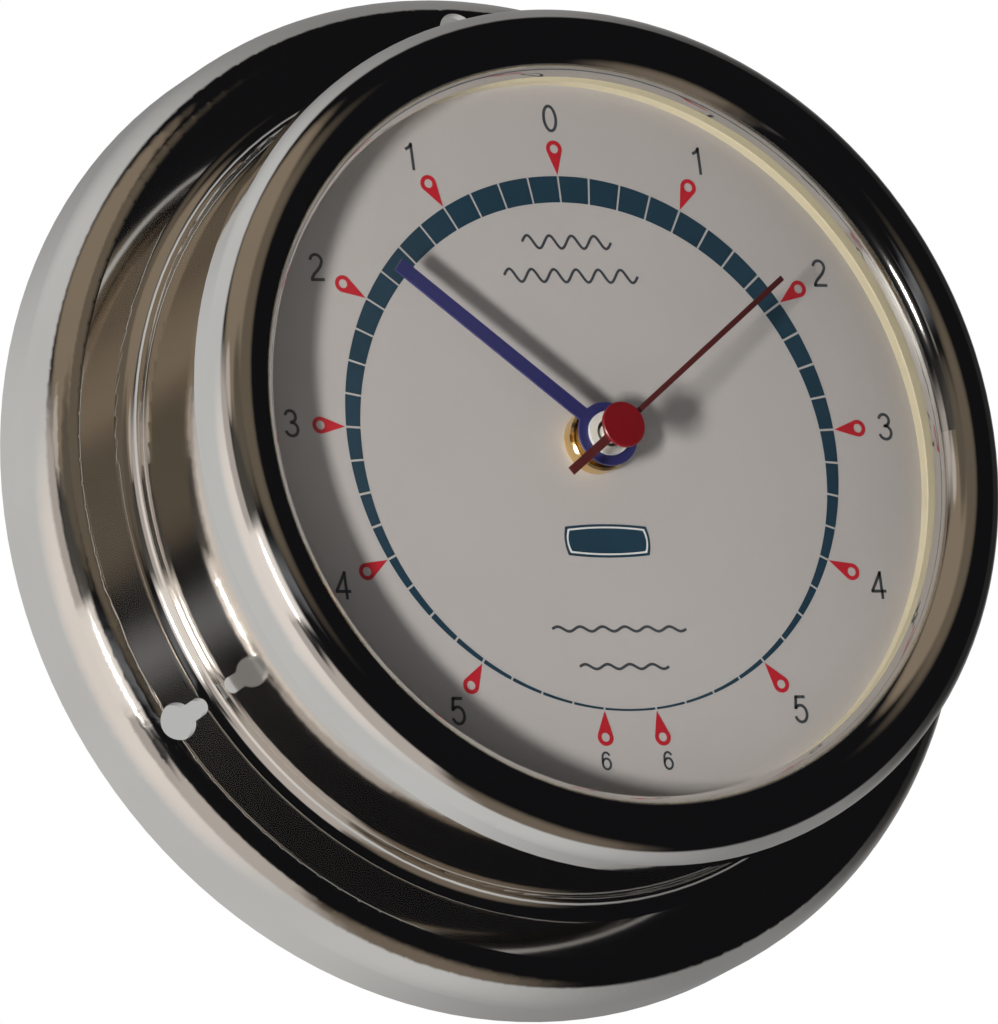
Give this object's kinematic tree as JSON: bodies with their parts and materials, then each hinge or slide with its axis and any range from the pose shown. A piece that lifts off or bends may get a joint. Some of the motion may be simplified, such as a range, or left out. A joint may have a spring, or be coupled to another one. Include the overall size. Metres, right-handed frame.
{
  "type": "tide clock",
  "caption": "Round metal-cased tide clock with domed glass, printed dial, tide and seconds hands and a keyholed wall flange.",
  "frame": {"origin": "on the clock's axis, in the plane of the wall that the base rim rests on", "axes": "+Z towards the top of the dial (12 o'clock), -Y the way the dial faces, +X to the viewer's right"},
  "size_m": [0.15, 0.0505, 0.15],
  "materials": {
    "case_metal": "plated and brushed to a satin shine",
    "bezel_metal": "plated and brushed to a satin shine",
    "clear_glass": "clear and polished",
    "dark_rubber": "matte",
    "dial_card": "matte white paint",
    "cream_plastic": "smooth matte",
    "yellow_brass": "turned and polished",
    "blue_paint": "semi-gloss paint",
    "red_paint": "semi-gloss paint",
    "white_plastic": "moulded satin",
    "black_plastic": "moulded, fine texture",
    "green_board": "solder mask",
    "bright_steel": "bright",
    "copper_wire": "enamelled wire",
    "magnet": "sintered, dark",
    "cell_jacket": "plain jacket, semi-gloss"
  },
  "bodies": {
    "case": {"base_flange": "case_metal", "drum": "case_metal", "cover_lugs": "case_metal", "rear_cover": "black_plastic", "cover_screws": "bright_steel", "dial_seat_ring": "case_metal", "dial": "dial_card", "dial_surround": "cream_plastic", "rubber_washer": "dark_rubber", "centre_bush": "yellow_brass", "hub_nut": "yellow_brass", "housing_tray": "black_plastic", "housing_plate": "black_plastic", "stator": "bright_steel", "coil_core": "bright_steel", "coil": "copper_wire", "circuit_board": "green_board", "quartz_can": "bright_steel", "contact_plus": "bright_steel", "contact_minus": "bright_steel"},
    "bezel": {"bezel_ring": "bezel_metal", "glass": "clear_glass", "glass_seal": "dark_rubber"},
    "tide": {"tide_wheel": "white_plastic", "tide_collet": "yellow_brass", "tide_hand": "blue_paint"},
    "minute": {"minute_wheel": "white_plastic"},
    "centre": {"centre_pinion": "white_plastic"},
    "clutch": {"centre_gear": "white_plastic"},
    "third": {"third_wheel": "white_plastic"},
    "seconds": {"seconds_wheel": "white_plastic", "seconds_tube": "yellow_brass", "seconds_hand": "red_paint", "seconds_cap": "red_paint"},
    "intermediate": {"intermediate_wheel": "white_plastic"},
    "rotor": {"rotor": "magnet"},
    "setting": {"setting_arbor": "white_plastic", "setting_knob": "black_plastic"},
    "cell": {"battery": "cell_jacket"}
  },
  "joints": [
    {"name": "bezel_lift", "type": "slide", "parent": "case", "child": "bezel", "axis": [0, -1, 0], "range_m": [0, 0.012]},
    {"name": "tide_hand_turn", "type": "hinge", "parent": "case", "child": "tide", "pos_m": [0, -0.04, 0], "axis": [0, 1, 0], "continuous": true},
    {"name": "minute_wheel_turn", "type": "hinge", "parent": "case", "child": "minute", "pos_m": [0.00876, -0.032, -0.00155], "axis": [0, 1, 0], "continuous": true},
    {"name": "centre_pinion_turn", "type": "hinge", "parent": "case", "child": "centre", "pos_m": [0, -0.031, 0], "axis": [0, 1, 0], "continuous": true},
    {"name": "setting_knob_turn", "type": "hinge", "parent": "case", "child": "setting", "pos_m": [0.01791, -0.02, 0.00007], "axis": [0, 1, 0], "continuous": true},
    {"name": "seconds_hand_turn", "type": "hinge", "parent": "case", "child": "seconds", "pos_m": [0, -0.038, 0], "axis": [0, 1, 0], "continuous": true},
    {"name": "third_wheel_turn", "type": "hinge", "parent": "case", "child": "third", "pos_m": [-0.00883, -0.028, 0.0051], "axis": [0, 1, 0], "continuous": true},
    {"name": "centre_gear_turn", "type": "hinge", "parent": "case", "child": "clutch", "pos_m": [0, -0.03, 0], "axis": [0, 1, 0], "continuous": true},
    {"name": "intermediate_wheel_turn", "type": "hinge", "parent": "case", "child": "intermediate", "pos_m": [0.0052, -0.025, 0.00901], "axis": [0, 1, 0], "continuous": true},
    {"name": "rotor_turn", "type": "hinge", "parent": "case", "child": "rotor", "pos_m": [0.00653, -0.023, 0.01654], "axis": [0, 1, 0], "continuous": true},
    {"name": "battery_slide", "type": "slide", "parent": "case", "child": "cell", "axis": [0, 1, 0], "range_m": [0, 0.04]}
  ],
  "couplings": [
    {"joint": "minute_wheel_turn", "follows": "tide_hand_turn", "ratio": -3.45},
    {"joint": "centre_pinion_turn", "follows": "tide_hand_turn", "ratio": 12.42},
    {"joint": "setting_knob_turn", "follows": "tide_hand_turn", "ratio": 10.35},
    {"joint": "third_wheel_turn", "follows": "seconds_hand_turn", "ratio": -0.13333},
    {"joint": "centre_gear_turn", "follows": "seconds_hand_turn", "ratio": 0.016667},
    {"joint": "intermediate_wheel_turn", "follows": "seconds_hand_turn", "ratio": -4},
    {"joint": "rotor_turn", "follows": "seconds_hand_turn", "ratio": 30}
  ]
}
